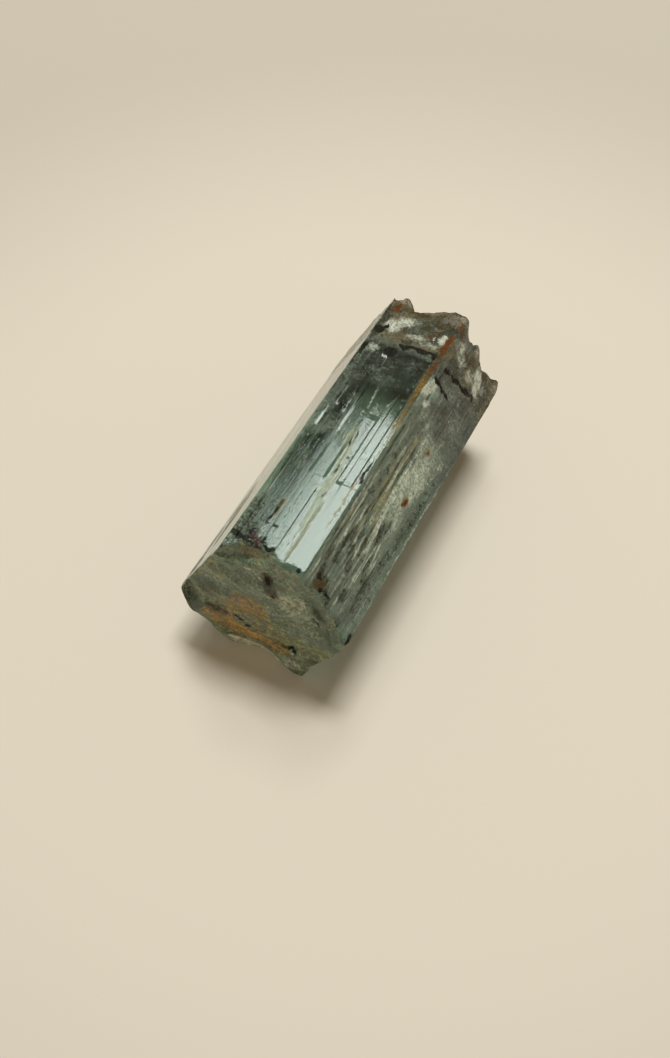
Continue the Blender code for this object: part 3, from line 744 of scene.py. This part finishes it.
class Graph:
    """Adds nodes to one tree."""

    def __init__(self, tree):
        self.tree = tree
        tree.nodes.clear()

    def add(self, kind, inputs=None, output=0, **settings):
        """A new node's output, after its settings and then its inputs are set."""
        node = self.tree.nodes.new(kind)
        for name, value in settings.items():
            setattr(node, name, value)
        for name, value in (inputs or {}).items():
            socket = self.find(node.inputs, name)
            if isinstance(value, Wire):
                self.tree.links.new(value.socket, socket)
            else:
                socket.default_value = value
        return Wire(self, self.find(node.outputs, output)) if node.outputs else None

    @staticmethod
    def find(sockets, name):
        """The socket with that number, identifier or name."""
        if isinstance(name, int):
            return sockets[name]
        matches = [socket for socket in sockets if socket.identifier == name]
        return matches[0] if matches else sockets[name]

    def part(self, vector, axis):
        return self.add("ShaderNodeSeparateXYZ", {0: vector}, axis)

    def vector(self, **parts):
        return self.add("ShaderNodeCombineXYZ", parts)

    def scaled(self, vector, factor):
        inputs = {0: vector, "Scale": factor}
        return self.add("ShaderNodeVectorMath", inputs, operation="SCALE")

    def length(self, vector):
        return self.add("ShaderNodeVectorMath", {0: vector}, "Value", operation="LENGTH")

    def attribute(self, name):
        return self.add("ShaderNodeAttribute", None, "Fac", attribute_name=name)

    def place(self):
        """The place in the object's own space, in mm."""
        return self.scaled(self.add("ShaderNodeTexCoord", None, "Object"), 1 / MM)

    def noise(self, place, detail, roughness=0.5, scale=1.0):
        """Noise from 0 to 1, with features of about 1 / scale."""
        inputs = {"Vector": place, "Scale": scale, "Detail": detail, "Roughness": roughness}
        return self.add("ShaderNodeTexNoise", inputs)

    def stretched_noise(self, place, scale, detail, roughness, stretch=(1.0, 1.0, 1.0)):
        """Noise with features of about 1 / scale, and as drawn out as the stretch is small."""
        sizes = tuple(scale * part for part in stretch)
        mapped = self.add("ShaderNodeMapping", {"Vector": place, "Scale": sizes})
        return self.noise(mapped, detail, roughness)

    def mix(self, factor, first, second):
        """A colour between two colours."""
        inputs = {"Factor_Float": factor, "A_Color": opaque(first), "B_Color": opaque(second)}
        return self.add("ShaderNodeMix", inputs, "Result_Color", data_type="RGBA")

    def surface(self, **inputs):
        """A principled surface. Its inputs are named with _ for each space."""
        named = {label.replace("_", " "): value for label, value in inputs.items()}
        return self.add("ShaderNodeBsdfPrincipled", named)

    def draw(self, low, high, seed, kind="FLOAT"):
        """A random number, or vector, for each element."""
        ending = "_001" if kind == "FLOAT" else ""
        inputs = {"Min" + ending: low, "Max" + ending: high, "Seed": seed}
        return self.add("FunctionNodeRandomValue", inputs, "Value" + ending, data_type=kind)


def opaque(colour):
    """A colour with its alpha, or a wire as it is."""
    return colour if isinstance(colour, Wire) else (*colour[:3], 1.0)


def new_material(name):
    """A material with an empty node tree, and the graph that fills it."""
    material = bpy.data.materials.new(name)
    material.use_nodes = True
    return material, Graph(material.node_tree)


def link_object(name, data):
    """A new object in the scene."""
    made = bpy.data.objects.new(name, data)
    bpy.context.scene.collection.objects.link(made)
    return made


class Recipe:
    """A geometry tree with named inputs, and the modifier that runs it once."""

    def __init__(self, name, material, inputs):
        self.tree = bpy.data.node_groups.new(name, "GeometryNodeTree")
        self.graph = Graph(self.tree)
        self.inputs = {**inputs, "Material": material}
        self.new_socket("Geometry", "INPUT", "NodeSocketGeometry")
        for label, value in self.inputs.items():
            self.new_socket(label, "INPUT", self.socket_kind(value))
        self.new_socket("Geometry", "OUTPUT", "NodeSocketGeometry")
        self.source = self.tree.nodes.new("NodeGroupInput")

    def new_socket(self, label, in_out, kind):
        self.tree.interface.new_socket(label, in_out=in_out, socket_type=kind)

    @staticmethod
    def socket_kind(value):
        kinds = {bpy.types.Material: "Material", int: "Int", float: "Float"}
        return "NodeSocket" + kinds.get(type(value), "Vector")

    def __getitem__(self, label):
        """The wire from a named input."""
        return Wire(self.graph, self.source.outputs[label])

    def finish(self, geometry):
        """End the tree: real geometry, with the material."""
        real = self.graph.add("GeometryNodeRealizeInstances", {"Geometry": geometry})
        dressed = self.graph.add("GeometryNodeSetMaterial", {
            "Geometry": real, "Material": self["Material"],
        })
        self.graph.add("NodeGroupOutput", {"Geometry": dressed})

    def run(self, name, start):
        """A new object with the plain mesh that the tree makes from a starting mesh."""
        made = link_object(name, start)
        modifier = made.modifiers.new("recipe", "NODES")
        modifier.node_group = self.tree
        for item in self.tree.interface.items_tree:
            if item.in_out == "INPUT" and item.name in self.inputs:
                modifier[item.identifier] = self.inputs[item.name]
        evaluated = made.evaluated_get(bpy.context.evaluated_depsgraph_get())
        mesh = bpy.data.meshes.new_from_object(evaluated)
        made.modifiers.remove(modifier)
        made.data = mesh
        mesh.name = name
        return made


# ---------------------------------------------------------------------------------------
# Pieces.


class Skin:
    """The places, zones and noises that the crystal's finish is worked out from."""

    def __init__(self, graph):
        self.graph = graph
        solid = graph.place()
        flat = graph.add("ShaderNodeUVMap", uv_map="skin")
        girth = graph.part(flat, "X")
        along = graph.part(solid, "Y")
        on_end = girth.above(ON_AN_END)
        self.on_ragged = girth.above(ON_RAGGED_END)
        self.on_broken = on_end - self.on_ragged
        self.on_side = 1 - on_end
        self.on_right = girth.within(RIGHT_GIRTHS)
        self.on_left = girth.within(LEFT_GIRTHS)
        self.far_from_base = girth.rise(13.2, 14.2)
        self.to_ragged = along.rise(7.0, 8.6) * self.on_side

        # Growth lines run along the axis, so their noise is drawn out the skin's second way.
        self.lines = graph.stretched_noise(flat, 3.4, 4.0, 0.7, (1.0, 0.05, 1.0))
        self.hairs = graph.stretched_noise(flat, 7.0, 2.0, 0.6, (1.0, 0.03, 1.0))
        self.bands = graph.stretched_noise(flat, 1.3, 3.0, 0.6, (1.0, 0.12, 1.0))
        self.wisps = graph.stretched_noise(solid, 1.5, 6.0, 0.68)
        self.cloud = graph.stretched_noise(solid, 0.55, 3.0, 0.6)
        self.grains = graph.stretched_noise(solid, 5.5, 4.0, 0.7)
        self.arcs = self.shell_arcs(flat)
        self.ragged = (self.wisps - 0.5) * 1.5 + (self.grains - 0.5) * 1.1

    def shell_arcs(self, flat):
        """Noise drawn out along the broken end's curved ripples, from 0 to 1."""
        graph = self.graph
        centre = (BROKEN_SKIN + RIPPLE_CENTRE.x / MM, RIPPLE_CENTRE.y / MM, 0.0)
        arm = graph.add("ShaderNodeVectorMath", {0: flat, 1: centre}, operation="SUBTRACT")
        reach = graph.length(arm)
        across = graph.part(arm, "X")
        curved = graph.vector(X=reach * 2.4, Y=across / reach * 7.0)
        return graph.noise(curved, 5.0, 0.7)

    def painted(self, kind):
        """How strongly a kind of mark shows, with its edges broken up by noise."""
        low, high, broken_up = MARK_KINDS[kind]
        shown = self.graph.attribute(kind)
        return (shown + self.ragged * shown.rise(0.0, 0.3) * broken_up).rise(low, high)


def aquamarine_material(settings):
    """Clear beryl with frosted ends, veils, growth lines and iron stains."""
    material, graph = new_material("aquamarine")
    skin = Skin(graph)
    wisps, cloud, grains, lines = skin.wisps, skin.cloud, skin.grains, skin.lines

    frost = skin.painted("frost")
    haze = skin.painted("haze")
    olive = skin.painted("olive") * (0.30 + skin.hairs.rise(0.45, 0.53) * 0.55)
    gold = skin.painted("gold") * skin.hairs.rise(0.48, 0.55) * 0.85
    ochre = skin.painted("ochre") * (0.55 + wisps.rise(0.42, 0.58) * 0.25)
    # Partly dark olive patches, partly painted shade where the clear body looks dark.
    dark_olive_and_shade = skin.painted("dark_olive_and_shade") * (0.6 + grains.rise(0.42, 0.56) * 0.4)
    brown = skin.painted("brown") * (0.35 + wisps.rise(0.43, 0.57) * 0.6)
    rust = skin.painted("rust")
    dark = skin.painted("dark") * (0.8 + grains.rise(0.40, 0.52) * 0.2)
    red = skin.painted("red") * (0.5 + grains.rise(0.42, 0.55) * 0.4)
    tan = skin.painted("tan") * (0.35 + grains.rise(0.45, 0.55) * 0.6)

    pale_line = lines.rise(0.52, 0.58)
    dark_line = 1 - lines.rise(0.41, 0.47)
    lined = skin.painted("striae").maximum(skin.on_right * 0.10)
    unclouded = skin.on_right * (1 - haze * 0.8)
    pale_band = skin.bands.rise(0.52, 0.62) * unclouded
    dark_band = (1 - skin.bands.rise(0.38, 0.49)) * unclouded
    flecks = grains.rise(0.57, 0.64)
    specks = 1 - grains.rise(0.35, 0.42)
    freckled = skin.on_right * 0.22 + skin.on_broken * 0.30 + skin.on_ragged * 0.3
    worn = skin.to_ragged.maximum(skin.on_ragged)
    blotch = (cloud * 0.65 + wisps * 0.35).rise(0.45, 0.54)
    chips = skin.arcs.rise(0.49, 0.58) * 0.18 + wisps.rise(0.46, 0.58) * 0.18
    rim = graph.attribute("rim").rise(0.2, 0.9)

    cover = wisps.rise(0.53, 0.62) * cloud.rise(0.47, 0.56) * skin.on_side * 0.20
    cover = cover + pale_band * 0.20 + dark_band * 0.34
    cover = cover + (pale_line + dark_line) * lined * (1 - haze * 0.4) * 0.85
    covers = (
        skin.on_left * (0.06 + lines.rise(0.48, 0.56) * 0.20),
        (flecks + specks) * freckled * (1 - haze * 0.7),
        haze * (0.74 + wisps.rise(0.42, 0.58) * 0.20),
        worn * (0.40 + blotch * 0.30),
        skin.on_broken * (0.30 + chips),
        frost * (0.58 + wisps.rise(0.40, 0.54) * 0.34),
        rim * 0.75,
    )
    for shown in (*covers, dark_olive_and_shade, brown, ochre, rust, dark, red, tan, olive, gold):
        cover = cover.maximum(shown)

    etched = graph.mix(cloud.rise(0.44, 0.56), settings.etched, settings.cool)
    hollow = worn * (1 - blotch) * 0.8
    gloom = hollow.maximum(dark_line * lined * 1.2).maximum(specks * freckled * 3)
    # On the broken end the whitest colour is partly pale chips and partly painted light, the bright
    # foot strip.
    whitest = graph.mix(skin.on_broken, settings.pale, settings.chip_and_painted_glow)
    # On the broken end the ochre is partly real iron film and partly a painted glow of light coming
    # through it.
    glow = graph.mix(skin.on_broken, settings.ochre, settings.amber_film_and_glow)
    rusty = graph.mix(wisps.rise(0.40, 0.52), settings.brown, settings.rust)
    layers = (
        (skin.on_right * skin.far_from_base * 0.8, settings.warm_frost),
        (worn, settings.worn),
        (skin.on_left, settings.pale),
        (skin.on_broken, etched),
        (haze * 0.8, settings.haze),
        (pale_line * lined * 0.7, settings.haze),
        (gloom.maximum(dark_band * 0.9), settings.line),
        (worn * cloud.rise(0.46, 0.56) * 0.55, settings.brown),
        (frost, whitest),
        (rim, settings.brown),
        (dark_olive_and_shade, settings.dark_olive_and_shade),
        (olive, settings.olive),
        (gold, settings.gold),
        (ochre.rise(0.0, 0.5), glow),
        (brown.rise(0.0, 0.6), settings.brown),
        (tan, settings.tan),
        (rust, rusty),
        (red, settings.red),
        (dark.rise(0.0, 0.6), settings.dark),
    )
    colour = settings.frost
    for shown, own_colour in layers:
        colour = graph.mix(shown, colour, own_colour)
    colour = graph.scaled(colour, 0.70 + grains.rise(0.40, 0.60) * 0.55)

    relief = lines * 0.5 + grains * (0.2 + skin.on_broken * 3.5 + skin.on_ragged * 2.0)
    relief = relief + wisps * (0.3 + skin.on_broken * 3.0 + skin.on_ragged * 2.0)
    relief = relief + skin.arcs * skin.on_broken * 5
    normal = graph.add("ShaderNodeBump", {
        "Strength": 1.0, "Distance": settings.relief, "Height": relief,
    })
    rough = 0.015 + skin.on_broken * 0.10 + skin.on_ragged * 0.18 + wisps.rise(0.5, 0.6) * 0.05

    clear = graph.surface(
        Base_Color=(1.0, 1.0, 1.0, 1.0), Roughness=rough, IOR=settings.ior,
        Transmission_Weight=1.0, Normal=normal,
    )
    crust = graph.surface(
        Base_Color=colour, Roughness=0.5, Specular_IOR_Level=DULL_SHINE, Normal=normal,
    )
    surface = graph.add("ShaderNodeMixShader", {0: cover, 1: clear, 2: crust})
    inside = graph.add("ShaderNodeVolumeAbsorption", {
        "Color": opaque(settings.body_colour), "Density": settings.body_density,
    })
    graph.add("ShaderNodeOutputMaterial", {"Surface": surface, "Volume": inside})
    return material


def growth_relief(settings, material):
    """The tree that raises growth lines on the long faces and etches both ends."""
    recipe = Recipe("growth relief", material, {
        "Line height": settings.line_height,
        "Line width": settings.line_width,
        "Line length": settings.line_length,
        "Etch height": settings.etch_height,
        "Etch size": settings.etch_size,
        "Etch start": settings.etch_start,
        "Seed": settings.seed,
    })
    graph = recipe.graph
    skin_place = graph.add("GeometryNodeInputNamedAttribute", {"Name": "place"}, "Attribute",
                           data_type="FLOAT_VECTOR")
    position = graph.add("GeometryNodeInputPosition")
    girth, up = graph.part(skin_place, "X"), graph.part(skin_place, "Y")
    along, height = graph.part(position, "Y"), graph.part(position, "Z")
    drawn_out = graph.vector(
        X=girth * MM / recipe["Line width"], Y=up * MM / recipe["Line length"],
        Z=recipe["Seed"],
    )
    lines = graph.noise(drawn_out, 2.0, 0.55)
    etching = graph.noise(graph.scaled(position, 1 / recipe["Etch size"]), 3.0, 0.6)
    start = recipe["Etch start"]
    to_ragged = along.rise(start, start + 2 * MM)
    to_broken = (0 - along).rise(start + 3 * MM, start + 4 * MM)
    above_rest = height.rise(0.05 * MM, 0.6 * MM)
    uneven = girth.below(ON_AN_END) - girth.within(SMOOTH_GIRTHS) * SMOOTHNESS
    raised = (lines - 0.5) * recipe["Line height"] * uneven
    etch = (etching - 0.5) * recipe["Etch height"] * (to_ragged + to_broken * 0.3)
    normal = graph.add("GeometryNodeInputNormal")
    moved = graph.add("GeometryNodeSetPosition", {
        "Geometry": recipe["Geometry"],
        "Offset": graph.scaled(normal, (raised + etch) * above_rest),
    })
    recipe.finish(moved)
    return recipe


def growth_tubes(settings, material):
    """The tree for thin hollow tubes that lie along the growth axis."""
    recipe = Recipe("growth tubes", material, {
        "Count": settings.tube_count,
        "Shortest": settings.tube_shortest,
        "Longest": settings.tube_longest,
        "Thickness": settings.tube_thickness,
        "Low corner": Vector(TUBE_LOW) * MM,
        "High corner": Vector(TUBE_HIGH) * MM,
        "Seed": settings.seed,
    })
    graph = recipe.graph
    seed = recipe["Seed"]
    low, high = recipe["Low corner"], recipe["High corner"]
    points = graph.add("GeometryNodePoints", {
        "Count": recipe["Count"],
        "Position": graph.draw(low, high, seed, "FLOAT_VECTOR"),
    })
    rod_sizes = {"Vertices": 6, "Radius": 0.5, "Depth": 1.0}
    rod = graph.add("GeometryNodeMeshCylinder", rod_sizes, "Mesh", fill_type="NGON")
    length = graph.draw(recipe["Shortest"], recipe["Longest"], seed + 1)
    thickness = recipe["Thickness"] * graph.draw(0.5, 1.3, seed + 2)
    tubes = graph.add("GeometryNodeInstanceOnPoints", {
        "Points": points,
        "Instance": rod,
        "Rotation": (math.radians(90), 0.0, 0.0),
        "Scale": graph.vector(X=thickness, Y=thickness, Z=length),
    })
    recipe.finish(tubes)
    return recipe


def healed_veil(settings, material, veil):
    """The tree for a healed crack: many small flat flakes on one curved sheet."""
    _, middle, turn, sides, density = veil
    recipe = Recipe("healed veil", material, {
        "Middle": Vector(middle) * MM,
        "Turn": Vector(math.radians(angle) for angle in turn),
        "Width": sides[0] * MM,
        "Length": sides[1] * MM,
        "Bend": settings.veil_bend,
        "Flake size": settings.flake_size,
        "Density": density / MM ** 2,
        "Seed": settings.seed,
    })
    graph = recipe.graph
    seed = recipe["Seed"]
    sheet = graph.add("GeometryNodeMeshGrid", {
        "Size X": recipe["Width"], "Size Y": recipe["Length"],
        "Vertices X": VEIL_ROWS, "Vertices Y": VEIL_ROWS,
    }, "Mesh")
    position = graph.add("GeometryNodeInputPosition")
    waves = graph.noise(position, 2.0, scale=0.45 / MM)
    patchy = graph.noise(position, 3.0, scale=1.1 / MM)
    bent = graph.add("GeometryNodeSetPosition", {
        "Geometry": sheet, "Offset": graph.vector(Z=(waves - 0.5) * recipe["Bend"]),
    })
    scatter = graph.add("GeometryNodeDistributePointsOnFaces", {
        "Mesh": bent, "Density": recipe["Density"], "Seed": seed,
        "Selection": patchy.above(0.5),
    })
    facing = Wire(graph, scatter.socket.node.outputs["Rotation"])
    flake = graph.add("GeometryNodeMeshIcoSphere", {"Radius": 1.0, "Subdivisions": 1}, "Mesh")
    across = recipe["Flake size"] * graph.draw(0.25, 1.0, seed + 3)
    size = graph.vector(X=across, Y=across * graph.draw(0.4, 1.0, seed + 4), Z=across * FLAKE_THINNESS)
    flakes = graph.add("GeometryNodeInstanceOnPoints", {
        "Points": scatter, "Instance": flake, "Rotation": facing, "Scale": size,
    })
    placed = graph.add("GeometryNodeTransform", {
        "Geometry": flakes, "Translation": recipe["Middle"],
        "Rotation": recipe["Turn"],
    })
    recipe.finish(placed)
    return recipe


def inclusion_material(name, colour, rough, clearest, densest, scale):
    """Pale gas and liquid inclusions, partly see-through."""
    material, graph = new_material(name)
    shimmer = graph.stretched_noise(graph.place(), scale, 3.0, 0.6)
    bright = shimmer.rise(0.35, 0.65)
    surface = graph.surface(
        Base_Color=graph.mix(bright, tuple(0.6 * part for part in colour), colour),
        Roughness=rough + shimmer * 0.2,
        Alpha=clearest + bright * (densest - clearest),
        IOR=INCLUSION_IOR,
    )
    graph.add("ShaderNodeOutputMaterial", {"Surface": surface})
    return material


def tint(name, description, default):
    """A colour setting."""
    return FloatVectorProperty(name=name, description=description, default=default,
                               subtype="COLOR", size=3, min=0.0, max=1.0)


def span(name, description, millimetres):
    """A length setting, which is kept in metres."""
    return FloatProperty(name=name, description=description, default=millimetres * MM,
                         unit="LENGTH")


def amount(name, description, default):
    """A setting that is a plain number."""
    return FloatProperty(name=name, description=description, default=default, min=0.0)


def whole(name, description, default):
    """A setting that is a whole number."""
    return IntProperty(name=name, description=description, default=default, min=0)


class CrystalSettings(bpy.types.PropertyGroup):
    """The clear body's sizes and colours."""

    ior: amount("IOR", "How strongly the crystal bends light", 1.575)
    body_colour: tint("Body colour", "Light kept on its way through", (0.43, 0.64, 0.55))
    body_density: amount("Body density", "How quickly light is taken up, per metre", 138.0)
    relief: span("Relief", "Height of the finest growth lines and etching", 0.005)
    line_height: span("Line height", "How far the growth lines are raised", 0.009)
    line_width: span("Line width", "Width of the growth lines across the axis", 0.32)
    line_length: span("Line length", "Length of the growth lines along the axis", 9.0)
    etch_height: span("Etch height", "How deeply the ragged end is etched", 0.16)
    etch_size: span("Etch size", "Size of the etched hollows", 0.8)
    etch_start: span("Etch start", "Where along the axis the etching sets in", 7.6)
    seed: whole("Seed", "Start of the random draws", 7)
    line: tint("Line", "Dark growth lines and hollows", (0.050, 0.062, 0.040))
    # The colour of the dark olive patches and of the painted shade laid where the clear body looks
    # dark.
    dark_olive_and_shade: tint("Shade", "Olive hollows", (0.030, 0.034, 0.017))
    brown: tint("Brown", "Brown film", (0.085, 0.056, 0.020))
    gold: tint("Gold", "Gilded growth lines", (0.30, 0.26, 0.12))
    etched: tint("Etched", "The broken end's fine chips", (0.50, 0.53, 0.30))
    cool: tint("Cool", "The broken end's cooler areas", (0.34, 0.44, 0.29))
    worn: tint("Worn", "Etched skin of the ragged end", (0.29, 0.26, 0.155))
    # Near white, so that it paints the light coming through the broken end's foot as well as pale
    # chips.
    chip_and_painted_glow: tint("Chip", "Fresh chips on the broken end", (0.90, 0.86, 0.70))
    # Real iron film, made bright enough to paint the glow of light coming through it.
    amber_film_and_glow: tint("Amber", "Iron film in the broken end", (0.66, 0.42, 0.14))
    pale: tint("Pale", "The whitest frosted patches", (0.58, 0.60, 0.48))
    frost: tint("Frost", "Veils and frosted skin", (0.40, 0.48, 0.39))
    haze: tint("Haze", "Cloudy areas", (0.58, 0.64, 0.49))
    warm_frost: tint("Warm frost", "Frost on the upper right face", (0.40, 0.44, 0.33))
    tan: tint("Tan", "The palest iron film", (0.30, 0.21, 0.10))
    olive: tint("Olive", "Olive growth bands", (0.30, 0.31, 0.15))
    ochre: tint("Ochre", "Ochre stains", (0.24, 0.155, 0.035))
    rust: tint("Rust", "Rust stains", (0.125, 0.034, 0.004))
    red: tint("Red", "Deep red film", (0.040, 0.005, 0.003))
    dark: tint("Dark", "Dark flecks and cracks", (0.010, 0.009, 0.004))


class InclusionSettings(bpy.types.PropertyGroup):
    """The sizes of the tubes and veils inside the crystal."""

    seed: whole("Seed", "Start of the random draws", 11)
    tube_count: whole("Tubes", "How many growth tubes there are", 46)
    tube_shortest: span("Shortest tube", "Length of the shortest tube", 0.5)
    tube_longest: span("Longest tube", "Length of the longest tube", 3.2)
    tube_thickness: span("Tube thickness", "Thickness of a tube", 0.035)
    veil_bend: span("Veil bend", "How far the veils curve out of a plane", 1.4)
    flake_size: span("Flake size", "Half the size of the largest flake in a veil", 0.10)


class StageSettings(bpy.types.PropertyGroup):
    """The floor and lights."""

    floor_colour: tint("Floor colour", "Colour of the pale floor", (0.80, 0.72, 0.60))
    key_power: amount("Key power", "Power of the large soft light overhead", 1.75)
    room_light: amount("Room light", "Brightness of the surroundings", 0.225)


class AQUAMARINE_OT_body(bpy.types.Operator):
    """Make the clear crystal"""

    bl_idname = "aquamarine.body"
    bl_label = "Crystal body"

    def execute(self, context):
        settings = context.scene.aquamarine_crystal
        data = crystal_mesh()
        data.shade_smooth()
        data.set_sharp_from_angle(angle=math.radians(SHARP_ANGLE))
        material = aquamarine_material(settings)
        body = growth_relief(settings, material).run("aquamarine_body", data)
        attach(body, "root")
        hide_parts(NODE)
        return {"FINISHED"}


class AQUAMARINE_OT_tubes(bpy.types.Operator):
    """Make the growth tubes inside the crystal"""

    bl_idname = "aquamarine.tubes"
    bl_label = "Growth tubes"

    def execute(self, context):
        settings = context.scene.aquamarine_inclusions
        material = inclusion_material("hollow_tube", (0.66, 0.74, 0.62), 0.25, 0.35, 0.8, 1.2)
        start = bpy.data.meshes.new("tubes")
        tubes = growth_tubes(settings, material).run("growth_tubes", start)
        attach(tubes, "root")
        return {"FINISHED"}


class AQUAMARINE_OT_veils(bpy.types.Operator):
    """Make the healed veils inside the crystal"""

    bl_idname = "aquamarine.veils"
    bl_label = "Healed veils"

    def execute(self, context):
        settings = context.scene.aquamarine_inclusions
        material = inclusion_material("healed_veil", (0.62, 0.68, 0.58), 0.4, 0.15, 0.55, 2.0)
        for veil in VEILS:
            start = bpy.data.meshes.new("veil")
            flakes = healed_veil(settings, material, veil).run(f"healed_veil_{veil[0]}", start)
            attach(flakes, "root")
        return {"FINISHED"}


def direction(azimuth, elevation):
    """The direction with that azimuth, clockwise from +Y, and elevation, in degrees."""
    turn, rise = math.radians(azimuth), math.radians(elevation)
    return Vector((math.sin(turn) * math.cos(rise), math.cos(turn) * math.cos(rise),
                   math.sin(rise)))


def floor_material(settings):
    """Plain pale board, made a little darker far from the crystal by painted shade for the light
    falling off there.
    """
    material, graph = new_material("pale_floor")
    away = graph.length(graph.place())
    painted_falloff = away.rise(FLOOR_FADE_START, FLOOR_FADE_END) * FLOOR_FADE
    colour = graph.mix(painted_falloff, settings.floor_colour, (0.0, 0.0, 0.0))
    surface = graph.surface(Base_Color=colour, Roughness=0.9, Specular_IOR_Level=DULL_SHINE)
    graph.add("ShaderNodeOutputMaterial", {"Surface": surface})
    return material


class AQUAMARINE_OT_stage(bpy.types.Operator):
    """Make the floor, the lights and the camera"""

    bl_idname = "aquamarine.stage"
    bl_label = "Stage"

    def execute(self, context):
        settings = context.scene.aquamarine_stage
        self.make_floor(settings)
        self.make_lights(settings)
        self.make_room(context, settings)
        self.make_camera(context)
        context.scene.view_settings.view_transform = "Standard"
        return {"FINISHED"}

    def make_floor(self, settings):
        half = FLOOR_SIZE / 2
        data = bpy.data.meshes.new("floor")
        z = NODE_LOW.z - FLOOR_GAP
        corners = [(-half, -half, z), (half, -half, z), (half, half, z), (-half, half, z)]
        data.from_pydata(corners, [], [(0, 1, 2, 3)])
        data.materials.append(floor_material(settings))
        link_object("floor", data)

    def make_lights(self, settings):
        for name, azimuth, elevation, roll, distance, shift, sides, colour, share in PANELS:
            lamp = bpy.data.lights.new(name, "AREA")
            lamp.shape = "RECTANGLE"
            lamp.size, lamp.size_y = sides
            lamp.energy = settings.key_power * share
            lamp.color = colour
            light = link_object(name, lamp)
            light.visible_transmission = False
            towards = direction(azimuth, elevation)
            turn = towards.to_track_quat("Z", "Y").to_matrix()
            turn = turn @ Matrix.Rotation(math.radians(roll), 3, "Z")
            place = towards * distance + turn @ Vector((*shift, 0.0))
            light.matrix_world = Matrix.Translation(place) @ turn.to_4x4()

    def make_room(self, context, settings):
        world = bpy.data.worlds.new("room")
        world.use_nodes = True
        graph = Graph(world.node_tree)
        glow = graph.add("ShaderNodeBackground", {
            "Color": ROOM_COLOUR,
            "Strength": settings.room_light,
        })
        graph.add("ShaderNodeOutputWorld", {"Surface": glow})
        context.scene.world = world

    def make_camera(self, context):
        lens = bpy.data.cameras.new("camera")
        lens.lens = CAMERA_LENS
        lens.clip_start = MM
        camera = link_object("camera", lens)
        back = direction(180 - CAMERA_AZIMUTH, CAMERA_ELEVATION)
        turn = back.to_track_quat("Z", "Y").to_matrix()
        roll = Matrix.Rotation(math.radians(CAMERA_ROLL), 3, "Z")
        camera.matrix_world = Matrix.Translation(CAMERA_PLACE) @ (turn @ roll).to_4x4()
        context.scene.camera = camera


class AQUAMARINE_PT_panel(bpy.types.Panel):
    """The crystal's pieces, in the order they are made"""

    bl_label = "Aquamarine crystal"
    bl_idname = "AQUAMARINE_PT_panel"
    bl_space_type = "VIEW_3D"
    bl_region_type = "UI"
    bl_category = "Crystal"

    def draw(self, context):
        for group_name, group in GROUPS.items():
            box = self.layout.box()
            for name in group.__annotations__:
                box.prop(getattr(context.scene, group_name), name)
        for operator in OPERATORS:
            self.layout.operator(operator.bl_idname)


OPERATORS = (
    AQUAMARINE_OT_body,
    AQUAMARINE_OT_tubes,
    AQUAMARINE_OT_veils,
    AQUAMARINE_OT_stage,
)
GROUPS = {
    "aquamarine_crystal": CrystalSettings,
    "aquamarine_inclusions": InclusionSettings,
    "aquamarine_stage": StageSettings,
}
CLASSES = (*GROUPS.values(), *OPERATORS, AQUAMARINE_PT_panel)


def register():
    for cls in CLASSES:
        bpy.utils.register_class(cls)
    for name, group in GROUPS.items():
        setattr(bpy.types.Scene, name, PointerProperty(type=group))


def unregister():
    for name in GROUPS:
        delattr(bpy.types.Scene, name)
    for cls in reversed(CLASSES):
        bpy.utils.unregister_class(cls)


def main():
    register()
    bpy.ops.aquamarine.body()
    bpy.ops.aquamarine.tubes()
    bpy.ops.aquamarine.veils()
    bpy.ops.aquamarine.stage()


if __name__ == "__main__":
    main()
